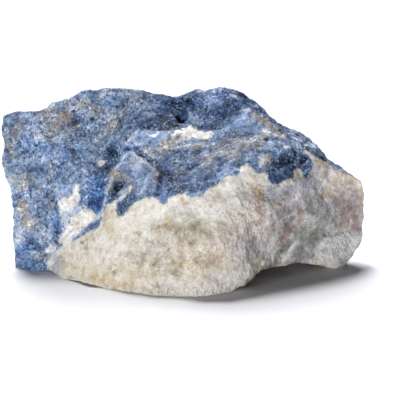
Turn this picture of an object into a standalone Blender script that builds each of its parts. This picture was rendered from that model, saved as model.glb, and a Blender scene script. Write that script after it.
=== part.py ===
"""A piece of rough lapis lazuli as it came off the rock: blue stone over a pale matrix.

The stone is drawn by its ridges, edges and hollows, as named lines of points in millimetres, with X
to the right, Y away from the viewer and Z up. A skin is stretched over those lines, cut into small
faces, and given the relief of broken rock: shallow bowls that meet in sharp ridges, and single dents
and swellings where the stone has them. A level cut underneath leaves the small flats that it stands on.
"""

import bmesh
import bpy
import numpy as np
from mathutils import Vector

MM = 0.001

# Driving dimensions of the finished stone, in millimetres.
LENGTH = 90.5
DEPTH = 56.5
HEIGHT = 43.5

# The skin, in millimetres.
HEART = (-3.0, 13.0, 17.0)  # a point inside, from which the whole skin can be seen
LINE_STEP = 3.5  # spacing of the points along a drawn line
LONGEST_EDGE = 3.0  # of a finished face
LONGEST_EDGE_BELOW = 5.0  # of a face on the underside
UNDERSIDE = -0.6  # a face whose normal has less height than this is on the underside
SHORTEST_EDGE = 0.5
REST_CUT = 0.5  # taken off the lowest points, so that they become flats
FLAT_HEIGHT = 0.01  # points no higher than this belong to the flats

# How the skin is evened out: the rounds, and the share of the way that a point moves in each. First the
# faces between the drawn lines settle like a soap film, then the lines lose their last kinks.
FILM_ROUNDS, FILM_SHARE = 12, 0.5
KINK_ROUNDS, KINK_SHARE = 1, 0.25

# The broken surface: size of the bowls, their depth in millimetres, and a seed for each layer.
BOWLS = ((14.0, 2.0, 3), (6.5, 1.3, 11))
BOWL_TILT = 0.9  # how far the bowls lean, each its own way
BOWL_MEAN = 0.25  # mean height of the bowls, which is taken off so that the stone keeps its size
BOWLS_ON_LINES = 0.35  # share of that depth on a drawn line, so that the line stays where it is
SMOOTH_BELOW = 6.0  # height under which the bowls fade out towards the flats
BOWLS_AT_FLATS = 0.3  # share of that depth that is left there

# What is seen from the front, left to right along each line.
FRONT_LINES = {
    "left end, top to foot": [
        (-45, 8, 37.5), (-46, 6, 34.5), (-45.5, 7.5, 29), (-45, 4.5, 24.5),
        (-43, 5.5, 16), (-42, 2.5, 8), (-42.5, 3, 4), (-42.5, 1, -0.3),
    ],
    "top ridge": [
        (-45, 8, 37.5), (-41, 9, 38.5), (-34.5, 9, 38.5), (-30, 9, 41), (-25, 9, 43.5),
        (-20, 10, 44), (-14, 12, 43.5), (-9, 14, 42.5), (-2, 15, 41.5), (2, 16, 42.5),
        (8.5, 15, 43.5), (12.5, 14, 43.5), (15, 14, 42),
    ],
    "far edge of the right slope": [
        (15, 14, 42), (22.5, 14, 35.5), (28, 14, 32.5), (32.5, 13, 29), (36, 12, 26), (42, 8, 22.5),
    ],
    "near edge of the right slope": [
        (15.5, 7, 38.5), (19, 6, 36.5), (24, 3, 33), (29, 1, 30.5), (33.5, 2, 27), (38, 4, 24.5),
        (42, 8, 22.5),
    ],
    "right end, top to foot": [
        (42, 8, 22.5), (44.5, 9, 20.5), (45.5, 10, 15.5), (45.5, 9, 10), (44.5, 7, 5),
        (41.5, 4, 1), (38.5, 1, -0.3),
    ],
    "ledge under the upper wall": [
        (-11.5, 4, 35), (-5, 5, 34.5), (-1, 6, 35.5), (4, 5, 34), (8, 5, 34), (11.5, 6, 36),
        (15.5, 7, 38.5),
    ],
    "lip of the shelf": [
        (-15.5, 1, 30.5), (-8.5, -1, 31.5), (0, -2, 31.5), (10, -3, 32.5), (18.5, -2, 33),
        (25.5, -2, 31.5), (29, 1, 30.5),
    ],
    "edge of the front block": [
        (-11.5, 4, 35), (-15.5, 1, 30.5), (-17.5, -2, 25), (-19.5, -4, 19), (-21, -5, 15),
        (-26.5, -5, 9.5), (-30.5, -4, 5.5), (-33.5, -2.5, 1),
    ],
    "top of the flake": [(-13.5, -2, 30), (-10.5, -4.5, 28.5), (-6.5, -7.5, 26), (-8, -10, 22)],
    "foot of the flake": [(-12, -0.5, 30), (-9, -3, 28), (-5, -6.5, 25), (-6, -9, 21.5)],
    "foot of the blue stone": [
        (-21, -5, 15), (-15.5, -9, 18.5), (-9.5, -12, 20.5), (-3, -14, 22), (3.5, -15, 23),
        (9.5, -14, 26), (14.5, -12, 27.5), (18.5, -11, 24.5), (25.5, -6, 24.5), (31.5, -1, 27),
    ],
    "belly": [
        (-33.5, -2.5, 1), (-30, -6.5, 3.5), (-24, -12, 6), (-16.5, -17, 9), (-8, -21, 10.5),
        (1.5, -24, 12), (9, -23, 13.5), (13, -19, 16), (16, -15, 20), (18.5, -11, 24.5),
    ],
    "lower front edge": [
        (-33.5, -3, 0.5), (-30, -9, 0), (-23.5, -15.5, 1), (-17, -19, -0.3), (-7.5, -24, -0.3),
        (2.5, -25, -0.3), (7, -23.5, -0.3), (11, -20.5, 0), (15.5, -17, 1.5), (18, -12.5, 3),
        (25, -7, 3), (28.5, -4, 3), (35, -1, 1), (38.5, 1, -0.3),
    ],
    "fold in the right face": [(25.5, -7, 6), (28, -5, 8.5), (34, 1, 10), (40, 5, 9.5), (45, 9, 9)],
    "left foot": [(-42.5, 1, -0.3), (-39, -1.5, -0.5), (-34, -2.5, 0.5)],
    "groove in the left face": [(-32, 3, 18.5), (-31.5, 2, 13.5), (-30.5, 0.5, 8.5)],
}

# Lone points on the faces between the lines.
FRONT_POINTS = {
    "left face": [
        (-38.5, 6.5, 29), (-31, 5.5, 29), (-23.5, 5, 32), (-18.5, 8, 37.5), (-26, 2, 20),
        (-36, 4, 17), (-36, 2, 7),
    ],
    "upper wall": [(-17.5, 7, 37), (-5, 10, 38.5), (-0.5, 10.5, 36.5), (6, 10.5, 39), (12.5, 10, 40)],
    "right face": [(25.5, -6, 18), (33, -1, 18), (39.5, 4, 18), (36, -0.5, 5)],
}

# What is hidden from the front: the back, the left end and the underside.
BACK_LINES = {
    "back edge of the top": [
        (-41, 19, 32), (-30, 24, 34.5), (-17, 27, 38), (-4, 27.5, 37), (9, 27, 38.5), (21, 24, 32.5),
        (32, 20, 26), (40, 15, 21.5),
    ],
    "back ledge, upper lip": [
        (-38, 24, 22), (-26, 29, 24), (-12, 31.5, 22), (2, 32, 25), (14, 30.5, 23), (26, 26, 20),
    ],
    "back ledge, lower lip": [
        (-37, 21, 19), (-26, 26, 21), (-12, 28.5, 18.5), (2, 29, 21), (14, 27.5, 20), (26, 23.5, 17),
    ],
    "left end, ridge": [(-43, 10, 37), (-45, 12, 27), (-43, 13, 15), (-41.5, 10, 4)],
    "upright edge, left": [(-41, 19, 32), (-42.5, 19, 22), (-40, 19, 11), (-39, 16, 2)],
    "upright edge, right": [(32, 20, 26), (36, 20, 16), (34, 20, 8), (31, 16, 2.5)],
    "lower back edge": [
        (-39, 16, 2), (-28, 22, 2.5), (-14, 25, 0.5), (0, 26, -0.3), (12, 24, 2), (22, 20, 4),
        (31, 16, 2.5), (39, 9, 1.5),
    ],
    "left end, lower edge": [(-42.5, 1, -0.3), (-42, 9, 1.5), (-39, 16, 2)],
}
BACK_POINTS = {
    "back, above the ledge": [(-22, 28, 31), (-4, 30, 32), (14, 28.5, 29)],
    "back, below the ledge": [(-26, 26.5, 11), (-6, 29, 10), (16, 26, 11)],
    "right end": [(43.5, 13, 16), (42, 13, 7)],
    "underside": [
        (-33, 6, 2.5), (-22, 0, 2.5), (-24, 12, 2.5), (-8, -8, 1.5), (-8, 8, 2), (2, -14, 0.5),
        (4, 16, 0.5), (10, 2, 2.5), (20, 8, 4), (28, 6, 4), (20, -4, 4), (36, 6, 1),
    ],
}

# Single dents, and swellings with a negative depth: the middle, how far it reaches, and its depth.
DENTS = {
    "hollow in the upper wall": ((-2, 11, 39), 8, 1.6),
    "dark pit in the hollow": ((-0.5, 10, 36.5), 3, 1.4),
    "pit under the peak": ((12.5, 10, 39), 4, 1.0),
    "pits beside the block's edge": ((-16, -5, 22.5), 4, 1.0),
    "hollow left of the block's edge": ((-19.5, 2, 27), 6, 1.4),
    "dark hollow at the right": ((27, -1, 27.5), 6, 2.0),
    "dent in the left face, upper": ((-26.5, 6, 36.5), 5, 1.0),
    "dent in the left face, lower": ((-36, 5, 24), 6, 0.9),
    "swelling in the left face": ((-26, 3.5, 25), 7, -1.0),
    "dent in the belly": ((-2, -20, 11), 8, 1.2),
    "swelling in the belly": ((9.5, -17, 16), 7, -0.8),
    "notch in the back": ((6, 29, 32), 8, 2.0),
    "notch in the top": ((-26, 24, 36.5), 7, 1.6),
}

# Where the blue stone ends and the pale matrix begins, left to right: X and the height at Y = 0.
CONTACT = [
    (-34, -2), (-31, 4), (-26, 9), (-21, 13.5), (-15, 17), (-9, 17.5), (-3, 18.5), (4, 20),
    (10, 23.5), (15, 24.5), (19, 21.5), (26, 22.5), (31, 25.5), (42, 24.5),
]
CONTACT_DIP = 0.23  # how far the contact falls for each millimetre towards the back

# Colour and roughness of the two stones.
BLUE = ((0.085, 0.15, 0.33, 1.0), 0.62)
PALE = ((0.62, 0.56, 0.49, 1.0), 0.78)


def clear_scene():
    for old in list(bpy.data.objects):
        bpy.data.objects.remove(old, do_unlink=True)


def along(line):
    """The points of a drawn line, with more put in between wherever two are far apart."""
    points = [Vector(line[0])]
    for corner in line[1:]:
        start, end = points[-1].copy(), Vector(corner)
        steps = max(1, round((end - start).length / LINE_STEP))
        points += [start.lerp(end, step / steps) for step in range(1, steps + 1)]
    return points


def drawn_points():
    """Every point once, and for each one whether it lies on a line or alone."""
    found = {}
    for line in [*FRONT_LINES.values(), *BACK_LINES.values()]:
        for point in along(line):
            found[tuple(round(c, 2) for c in point)] = True
    for group in [*FRONT_POINTS.values(), *BACK_POINTS.values()]:
        for point in group:
            found.setdefault(tuple(float(c) for c in point), False)
    return list(found), list(found.values())


def stretch_skin(points):
    """Triangles over the points: the hull of their directions from the heart, moved out to them."""
    heart = Vector(HEART)
    skin = bmesh.new()
    for point in points:
        skin.verts.new((Vector(point) - heart).normalized())
    bmesh.ops.convex_hull(skin, input=skin.verts[:])
    for vert, point in zip(skin.verts, points):
        vert.co = point
    bmesh.ops.recalc_face_normals(skin, faces=skin.faces[:])
    return skin


def is_long(edge):
    underneath = all(face.normal.z < UNDERSIDE for face in edge.link_faces)
    return edge.calc_length() > (LONGEST_EDGE_BELOW if underneath else LONGEST_EDGE)


def cut_small(skin, on_line):
    """Halves every long edge until none is left, and tells which points lie on a drawn line."""
    mark = skin.verts.layers.int.new("on_line")
    for vert, drawn in zip(skin.verts, on_line):
        vert[mark] = int(drawn)
    while True:
        skin.normal_update()
        long_edges = [e for e in skin.edges if is_long(e)]
        if not long_edges:
            return np.array([v[mark] for v in skin.verts])
        drawn = [e.verts[0][mark] and e.verts[1][mark] and e.calc_length() < LINE_STEP * 1.5
                 for e in long_edges]
        for edge, on_it in zip(long_edges, drawn):
            _, middle = bmesh.utils.edge_split(edge, edge.verts[0], 0.5)
            middle[mark] = int(bool(on_it))
        bmesh.ops.triangulate(skin, faces=[f for f in skin.faces if len(f.verts) > 3])


def places_of(skin):
    return np.array([v.co for v in skin.verts])


def move_to(skin, places):
    for vert, place in zip(skin.verts, places):
        vert.co = place
    skin.normal_update()


def relax(skin, free, rounds, share):
    """Moves the free points a share of the way to the mean of their neighbours, again and again."""
    skin.verts.index_update()
    ends = np.array([(e.verts[0].index, e.verts[1].index) for e in skin.edges])
    places = places_of(skin)
    counts = np.bincount(ends.ravel(), minlength=len(places))[:, None]
    for _ in range(rounds):
        sums = np.zeros_like(places)
        np.add.at(sums, ends[:, 0], places[ends[:, 1]])
        np.add.at(sums, ends[:, 1], places[ends[:, 0]])
        places = places + (sums / counts - places) * share * free[:, None]
    move_to(skin, places)


def lattice_random(cells, seed):
    """A repeatable number from 0 to 1 for each lattice cell, its three indices mixed together."""
    x, y, z = (cells[:, i].astype(np.int64).astype(np.uint32) for i in range(3))
    mixed = x * np.uint32(73856093) ^ y * np.uint32(19349663) ^ z * np.uint32(83492791)
    mixed = mixed + np.uint32(seed * 7919)
    for shift, factor in ((16, 0x7FEB352D), (15, 0x846CA68B)):
        mixed = (mixed ^ (mixed >> np.uint32(shift))) * np.uint32(factor)
    return (mixed ^ (mixed >> np.uint32(16))) / 2.0**32


def bowls(places, size, seed):
    """Depth of scooped rock, about -0.5 to 0.5: the lowest of the tilted bowls around each place."""
    scaled = places / size
    cell = np.floor(scaled)
    lowest = np.full(len(places), np.inf)
    for offset in np.ndindex(3, 3, 3):
        there = cell + np.array(offset) - 1
        shifts = np.stack([lattice_random(there, seed + i) for i in range(3)], axis=1)
        tilt = np.stack([lattice_random(there, seed + 3 + i) for i in range(3)], axis=1) - 0.5
        away = scaled - there - shifts
        bowl = (away**2).sum(axis=1) + BOWL_TILT * (away * tilt).sum(axis=1)
        lowest = np.minimum(lowest, bowl)
    return lowest - BOWL_MEAN


def dents(places):
    """How far each place is pushed in: each dent is a smooth cup that ends at its reach."""
    push = np.zeros(len(places))
    for middle, reach, depth in DENTS.values():
        gone = np.linalg.norm(places - np.array(middle), axis=1) / reach
        push += depth * np.clip(1 - gone**2, 0, 1)**2
    return push


def give_relief(skin, on_line):
    """Moves each point in or out by the bowls and the dents, along the way that the skin faces."""
    places = places_of(skin)
    facing = np.array([v.normal for v in skin.verts])
    share = np.where(on_line, BOWLS_ON_LINES, 1.0)
    share = share * np.clip(places[:, 2] / SMOOTH_BELOW, BOWLS_AT_FLATS, 1.0)
    out = share * sum(depth * bowls(places, size, seed) for size, depth, seed in BOWLS)
    move_to(skin, places + facing * (out - dents(places))[:, None])


def fit_to_size(skin):
    """Brings the stone to its driving dimensions, with Z = 0 where the level cut will be."""
    places = places_of(skin)
    low, high = places.min(axis=0), places.max(axis=0)
    low[2] += REST_CUT
    size = np.array([LENGTH, DEPTH, HEIGHT])
    middle = np.array([(low[0] + high[0]) / 2, (low[1] + high[1]) / 2, low[2]])
    move_to(skin, (places - middle) * size / (high - low))


def cut_level(skin):
    """Takes off what is below Z = 0 and closes each opening with a flat."""
    bmesh.ops.bisect_plane(
        skin, geom=skin.verts[:] + skin.edges[:] + skin.faces[:], dist=0.001,
        plane_co=(0, 0, 0), plane_no=(0, 0, -1), clear_outer=True,
    )
    bmesh.ops.holes_fill(skin, edges=[e for e in skin.edges if e.is_boundary], sides=0)
    bmesh.ops.triangulate(skin, faces=[f for f in skin.faces if len(f.verts) > 3])
    bmesh.ops.recalc_face_normals(skin, faces=skin.faces[:])


def merge_slivers(skin):
    """Collapses the shortest edges, apart from those of the flats."""
    short = [e for e in skin.edges
             if e.calc_length() < SHORTEST_EDGE and min(v.co.z for v in e.verts) > FLAT_HEIGHT]
    bmesh.ops.collapse(skin, edges=short)
    bmesh.ops.triangulate(skin, faces=[f for f in skin.faces if len(f.verts) > 3])


def in_matrix(place):
    """Whether a place in the stone is on the pale side of the contact."""
    across, heights = zip(*CONTACT)
    return place.x > across[0] and place.z < np.interp(place.x, across, heights) - CONTACT_DIP * place.y


def stone_material(name, colour, roughness):
    material = bpy.data.materials.new(name)
    material.use_nodes = True
    material.diffuse_color = colour
    shader = material.node_tree.nodes["Principled BSDF"]
    shader.inputs["Base Color"].default_value = colour
    shader.inputs["Roughness"].default_value = roughness
    shader.inputs["Metallic"].default_value = 0.0
    return material


def broken_skin():
    """The skin over the drawn lines, with its relief, before it is brought to size."""
    points, on_line = drawn_points()
    skin = stretch_skin(points)
    on_line = cut_small(skin, on_line)
    relax(skin, 1 - on_line, FILM_ROUNDS, FILM_SHARE)
    relax(skin, np.ones(len(on_line)), KINK_ROUNDS, KINK_SHARE)
    give_relief(skin, on_line)
    return skin


def make_stone():
    skin = broken_skin()
    fit_to_size(skin)
    cut_level(skin)
    merge_slivers(skin)
    for face in skin.faces:
        face.material_index = int(in_matrix(face.calc_center_median()))
    bmesh.ops.scale(skin, vec=(MM, MM, MM), verts=skin.verts[:])

    mesh = bpy.data.meshes.new("rough_lapis_stone")
    skin.to_mesh(mesh)
    skin.free()
    mesh.materials.append(stone_material("blue_lapis", *BLUE))
    mesh.materials.append(stone_material("pale_matrix", *PALE))
    stone = bpy.data.objects.new("rough_lapis_stone", mesh)
    bpy.context.scene.collection.objects.link(stone)
    return stone


clear_scene()
make_stone()
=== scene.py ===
"""The looks of a piece of rough lapis lazuli: blue stone broken off with its cream matrix.

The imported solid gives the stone's form. Here a copy of it is cut into finer triangles and given what
the fracture left: scooped facets, small steps, pits and grain. The two stones are coloured by node
patterns, led by a few values kept on the mesh's points, such as the distance to the contact.
Lengths are in millimetres up to the last step, and pixels are those of the photograph's 400 x 400 frame.
"""

import math

import bpy
import numpy as np
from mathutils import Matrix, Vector


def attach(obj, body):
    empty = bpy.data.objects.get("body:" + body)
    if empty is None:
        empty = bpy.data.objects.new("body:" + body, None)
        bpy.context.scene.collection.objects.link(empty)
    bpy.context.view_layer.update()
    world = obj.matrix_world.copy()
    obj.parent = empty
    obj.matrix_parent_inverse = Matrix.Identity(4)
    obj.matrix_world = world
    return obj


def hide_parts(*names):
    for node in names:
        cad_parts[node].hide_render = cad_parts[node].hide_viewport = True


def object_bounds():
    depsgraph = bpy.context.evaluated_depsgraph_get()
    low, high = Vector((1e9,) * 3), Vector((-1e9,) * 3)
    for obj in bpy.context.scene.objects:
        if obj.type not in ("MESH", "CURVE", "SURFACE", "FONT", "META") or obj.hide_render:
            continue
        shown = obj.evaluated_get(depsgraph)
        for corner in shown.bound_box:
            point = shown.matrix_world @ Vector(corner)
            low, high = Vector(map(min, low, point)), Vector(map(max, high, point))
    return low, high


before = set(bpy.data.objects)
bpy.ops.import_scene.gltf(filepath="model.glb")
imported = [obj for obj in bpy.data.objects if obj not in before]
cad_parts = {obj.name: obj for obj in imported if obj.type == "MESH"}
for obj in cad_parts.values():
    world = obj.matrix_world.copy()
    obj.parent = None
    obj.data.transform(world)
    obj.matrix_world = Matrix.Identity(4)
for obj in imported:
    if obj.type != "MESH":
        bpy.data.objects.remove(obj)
cad_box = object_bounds()

MM = 0.001
NODE = "rough_lapis_stone"

# The photograph's camera: its height over the horizon, distance, aim and focal length.
CAMERA_RISE = math.radians(13)
CAMERA_DISTANCE = 420
CAMERA_AIM = (3.95, -3.5, 17.55)
FOCAL_PIXELS = 1709
FRAME_PIXELS = 400
SENSOR_WIDTH = 36
PIXELS_PER_MM = FOCAL_PIXELS / CAMERA_DISTANCE

# The fine mesh.
CUTS = 4  # each triangle of the solid becomes CUTS squared
ROUNDING = 0.6  # how far a new point moves from its flat triangle to the rounded one
FEET_HEIGHT = 0.9  # the relief fades out below this height, so that the flats stay flat

# The edge of the pale matrix as the photograph shows it, closed below the stone.
MATRIX_OUTLINE = [
    (49, 270), (48, 262), (50, 256), (56, 251), (62, 246), (70, 243), (78, 238), (90, 230), (98, 229),
    (101, 221), (103, 212), (107, 205), (112, 202), (116, 202), (117, 206), (116, 211), (118, 215),
    (122, 216), (128, 210), (131, 206), (134, 203), (140, 201), (144, 198), (152, 197.5),
    (158, 198.5), (160, 202), (163, 204), (166, 203.5), (168, 199), (172, 196), (178, 194.5),
    (184, 193), (188, 196), (194, 196.5), (200, 196), (204, 193), (207, 190), (210, 188), (216, 186),
    (220, 182), (224, 178), (229, 176.5), (234, 176.5), (239, 175), (240, 170), (241, 167), (244, 164),
    (247, 163.5), (250, 166), (254, 170), (258, 173.5), (265, 173), (268, 175), (269, 181),
    (274, 184.5), (280, 184), (283, 181), (287, 179), (291, 178), (294, 181), (296, 180), (293, 175),
    (294, 171), (297, 168), (300, 169), (303, 172), (304, 177), (306, 178), (308, 176), (311, 172),
    (313.5, 163), (311, 159), (308, 156), (304, 152), (304, 148), (309, 152), (316, 157), (322, 160.5),
    (330, 165.5), (338, 169.5), (346, 173), (353, 175.5), (385, 172), (385, 330), (40, 330),
]

# Marks on the stone, each kind by what it adds. A mark has a line in pixels or one point, half its width,
# and its strength.

DARKER = [
    # Broad darkening: partly the darker tone of whole, uncrushed lazurite, partly painted shade.
    # Painted shade lies in the hollow of the wall above the shelf, beside the calcite's border, in the
    # hollows between the belly's lumps and on the underside along the arch.
    ([(182, 97), (196, 94)], 4, 0.6), ([(198, 106), (204, 114)], 8, 0.5),
    ([(158, 113), (164, 123), (172, 126)], 3.5, 1.15), ([(176, 104), (184, 110)], 4, 1.15),
    ([(189, 100), (194, 106)], 3, 1.1), ([(150, 121), (154, 127)], 3, 1),
    ([(164, 122), (174, 126)], 7, 0.5), ([(276, 124), (284, 132)], 6, 0.5),
    ([(212, 157), (220, 162)], 7, 0.5), ([(34, 238), (42, 244)], 7, 0.5),
    ([(164, 254), (186, 257)], 9, 0.3), ([(184, 176), (188, 184)], 7, 0.3),
    ([(176, 238), (186, 240)], 10, 0.5), ([(262, 203), (264, 222)], 8, 0.7),
    ([(300, 210), (298, 222), (289, 230), (284, 238), (280, 247)], 2.6, 0.9),
    ([(160, 231), (165, 226), (170, 229)], 1.8, 0.8), ([(156, 226), (168, 233)], 6, 0.35),
    ([(186, 233), (198, 225)], 7, 0.6), ([(213, 226), (219, 232)], 1.5, 0.5),
    ([(150, 262), (185, 258), (212, 262)], 12, 0.4), ([(226, 91), (234, 92)], 4, 0.6),
    ([(214, 108), (224, 114)], 6, 0.4), ([(243, 93), (249, 102)], 3.5, 0.9),
    ([(170, 190), (184, 190), (204, 187)], 3.5, 0.6), ([(136, 196), (128, 200), (120, 212)], 4, 0.5),
    ([(52, 196), (51, 208)], 4, 0.4), ([(268, 140), (273, 138), (286, 138)], 3, 0.5),
    ([(254, 274), (268, 267), (290, 263), (322, 267)], 2.4, 0.7),
    # Lines where a crack or a step throws shade.
    ([(140, 128), (152, 129), (165, 131.5), (178, 127)], 1.6, 0.7),
    ([(160.5, 173.5), (159.5, 179)], 2.2, 0.4), ([(166, 172), (178, 179)], 7, 0.5),
    ([(125, 150), (134, 149), (141, 155)], 2.5, 0.7), ([(117, 186.5), (122, 186.5)], 3.2, 1.3),
    ([(111, 192), (113, 198), (118, 198)], 3, 0.8), ([(104, 165), (100, 176), (104, 182)], 4, 0.8),
    ([(55, 192), (56, 204), (59, 220), (60.5, 232)], 1.6, 0.6), ([(33, 240), (36, 244)], 2.4, 1),
    ([(304, 147.5), (310, 151.5), (316, 155.5), (321, 159)], 1.6, 1.2),
    ([(320, 160), (327, 164), (335, 168)], 1.5, 0.5),
    ([(246, 103), (256, 113), (266, 123), (280, 133), (288, 138)], 2, 0.6),
    ([(132, 230), (141, 235)], 1.2, 0.4), ([(145, 239), (152, 242)], 1.2, 0.4),
    ([(116, 262), (124, 263)], 1.2, 0.4),
    # Small dark spots: dark grains, and painted shade in the pits that most of them sit on.
    ((76, 120), 3.5, 0.9), ((92, 121), 3, 0.8), ((73, 150), 2.6, 0.9), ((74, 155), 1.6, 0.6),
    ((73, 161), 2, 0.7), ((12, 170), 3, 0.6), ((31, 170), 2.5, 0.6), ((39, 169), 3.5, 0.7),
    ((13, 126), 3, 0.5), ((19, 145), 3, 0.4), ((32, 189), 2.5, 0.5), ((18, 197), 3, 0.5),
    ((33, 242), 3.5, 0.8), ([(170, 175), (174, 182)], 4, 1.1), ([(179, 187), (186, 190)], 3.5, 0.8),
    ((283, 127), 2, 0.7), ((103, 97), 3, 0.6), ((228, 140), 2, 0.5), ((113, 193), 2.5, 0.6),
    ((82, 243), 2, 1.5), ((86, 247), 2, 1.5), ((94, 240), 1.6, 1), ((104, 258), 2, 0.8),
    ((133, 262), 2, 0.4), ((153, 270), 2, 0.4), ((114, 273), 2.2, 1.3), ((166, 226), 2.5, 0.4),
    ((250, 229), 2.5, 0.5), ([(322, 226), (324, 233)], 2.2, 0.6), ((321, 219), 1.8, 0.6),
    ((311, 240), 2, 0.9), ((304, 239), 1.5, 0.8), ((319, 228), 1.5, 0.7), ((315, 233), 1.5, 0.7),
    ((296, 249), 2, 0.8), ((312, 256), 2, 0.7), ([(307.5, 196), (306.5, 200)], 1.6, 1.2),
    ([(307, 207), (310, 211), (313, 213)], 2, 1.2), ([(305, 192), (302, 196)], 1.6, 0.7),
    ([(276, 262), (278, 254), (284, 247)], 2.2, 1.6), ([(318, 237), (330, 235)], 1.6, 0.4),
    ([(305, 243), (315, 234), (323, 224)], 8, 0.35), ((345, 199), 2, 0.4), ((355, 205), 1.8, 0.5),
    ((292, 257), 1.8, 0.5),
    # The right face is darker: partly a duller rock than the belly, partly painted shade, as it faces away
    # from the light.
    ([(278, 200), (285, 225), (290, 240)], 16, 0.8), ([(310, 195), (322, 212), (345, 212)], 16, 0.6),
]

LIGHTER = [
    # Lighter rock: the left face is paler, crushed rock, and painted light lifts it and other faces.
    # The belly's top rim has a painted highlight, and its lower edge and left end painted light thrown up
    # from the floor.
    # Thin light lines on the block's edge, the flake's rim and the calcite's border are painted highlights
    # on edges, with crushed grains on them.
    ([(20, 125), (60, 125), (100, 110)], 30, 0.45), ([(20, 175), (60, 175), (80, 165)], 34, 0.45),
    ([(35, 225), (50, 235)], 24, 0.25), ([(84, 92), (100, 95), (118, 97)], 9, 0.6),
    ([(164, 156), (172, 163)], 9, 0.5), ([(130, 92), (136, 106), (152, 112)], 10, 0.8),
    ([(114, 170), (122, 176)], 6, 0.4), ([(188, 117), (198, 121)], 4, 0.5),
    ([(166, 112), (172, 118)], 4, 0.4), ([(204, 100), (214, 104)], 5, 0.4),
    ([(244, 160), (262, 164), (276, 158)], 8, 0.35), ([(242, 186), (248, 200), (250, 222)], 8, 0.5),
    ([(54, 254), (72, 256), (100, 266)], 10, 0.4), ([(70, 140), (88, 142), (82, 158)], 12, 0.5),
    ([(130, 130), (146, 140)], 7, 0.4), ([(148, 190), (156, 192)], 8, 0.5),
    ([(212, 197), (224, 190)], 10, 0.5), ([(206, 200), (226, 214), (234, 236)], 14, 0.6),
    ([(18, 212), (18, 240)], 7, 0.8), ([(50, 262), (60, 272)], 8, 0.8), ([(44, 236), (56, 246)], 9, 0.8),
    ([(50, 206), (52, 222)], 6, 0.5), ([(150, 238), (162, 240)], 9, 0.4),
    ([(270, 252), (282, 256)], 8, 0.6), ([(112, 113), (128, 113), (137, 107)], 9, 0.6),
    ([(126, 158), (138, 162), (150, 164)], 9, 0.6), ([(210, 158), (232, 156), (262, 157)], 9, 0.5),
    ([(258, 144), (290, 144), (312, 147)], 8, 0.7), ([(228, 184), (250, 178), (262, 186)], 12, 0.55),
    ([(244, 196), (258, 206), (262, 222)], 12, 0.65), ([(180, 283), (204, 289), (224, 282)], 10, 1.35),
    ([(24, 258), (36, 256)], 9, 0.4), ([(36, 215), (50, 244), (58, 243)], 7, 0.4),
    ([(132, 118), (148, 101)], 4, 0.4), ([(200, 92), (214, 91), (222, 89)], 2.5, 0.5),
    ([(139, 130), (128, 142), (121, 152)], 1.8, 1),
    ([(128, 152), (121, 162), (114, 172), (111, 180), (107, 190), (104, 203), (102, 212),
      (99, 218)], 1.8, 1.4),
    ([(122, 160), (127, 153), (132, 152), (138, 158), (147, 164), (155, 169.5), (159, 174)], 1.5, 1.3),
    ([(153, 169), (156, 174)], 3, 0.9), ([(61, 240), (62, 236), (60, 222), (58, 208)], 1.5, 0.9),
    ([(250, 150), (264, 158)], 7, 0.35), ([(284, 148), (292, 143)], 4, 0.6),
    ([(220, 169), (220, 180)], 4, 0.4), ([(188, 194.5), (197, 195), (205, 191)], 2.5, 0.5),
    ([(295, 163), (277, 173)], 1.5, 0.5), ([(309, 161), (300, 166)], 1.5, 0.5),
    ([(99, 213), (95, 218)], 3, 0.6),
    # Lighter spots on the matrix: white crumbs, painted highlights on the tops of its lumps and along its
    # top rim, and painted light from the floor on its lower edge.
    ([(150, 243), (158, 247)], 6, 0.6), ((207, 226), 5, 0.4), ([(205, 285), (240, 282)], 8, 0.35),
    ([(182, 280), (206, 282)], 8, 0.9), ([(212, 276), (240, 274)], 8, 0.7),
    ([(200, 214), (212, 216)], 6, 0.8), ([(126, 222), (150, 214), (160, 213)], 7, 0.5),
    ([(168, 212), (180, 208)], 7, 0.8), ([(176, 144), (204, 142)], 6, 0.5),
    ([(236, 264), (246, 270)], 7, 0.4), ([(144, 208), (180, 204), (225, 190), (250, 176)], 9, 0.5),
    ([(284, 261), (290, 252), (297, 242)], 2.6, 1.3), ([(286, 241), (291, 235)], 2, 0.9),
    ([(325, 250), (352, 245)], 13, 0.5),
]

# Fresh, deep blue.
BLUER = [
    ([(140, 108), (160, 106), (185, 98), (215, 98), (240, 98)], 16, 0.6), ([(28, 142), (48, 147)], 7, 0.9),
    ([(60, 142), (64, 152)], 5, 0.8), ((28, 196), 3, 1), ([(54, 218), (58, 236)], 5, 0.8),
    ([(24, 254), (32, 266)], 9, 0.9), ([(20, 230), (20, 245)], 5, 0.5), ((97, 224), 4.5, 0.8),
    ([(24, 112), (30, 113)], 4, 0.7), ([(82, 95), (94, 92)], 4, 0.7), ([(108, 98), (122, 94)], 6, 0.7),
    ([(152, 96), (164, 104)], 6, 0.6), ([(125, 165), (150, 178)], 7, 0.4),
    ([(140, 189), (163, 192)], 5, 0.5), ([(220, 168), (220, 180)], 5, 0.8), ((222, 162), 4, 0.9),
    ((235, 171), 4, 0.8), ([(188, 195), (205, 191)], 3, 1), ([(215, 112), (228, 116)], 6, 0.6),
    ([(252, 152), (262, 168)], 5, 0.5), ([(272, 146), (280, 150)], 5, 0.6),
    ([(320, 155), (345, 170)], 4, 0.6), ([(160, 203), (166, 203)], 4, 0.8),
]

# Blue grains in the matrix near the contact.
LILAC = [
    ([(302, 188), (312, 184)], 6, 0.7), ([(283, 188), (298, 187)], 4, 0.6),
    ([(272, 190), (276, 196)], 6, 0.6), ([(300, 202), (322, 206)], 7, 0.5),
    ([(342, 194), (350, 200)], 5, 0.6), ([(56, 258), (60, 264)], 5, 1), ([(54, 270), (58, 275)], 4, 1),
    ([(92, 228), (88, 232)], 3, 0.8), ([(298, 250), (306, 254)], 6, 0.7),
]

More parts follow.
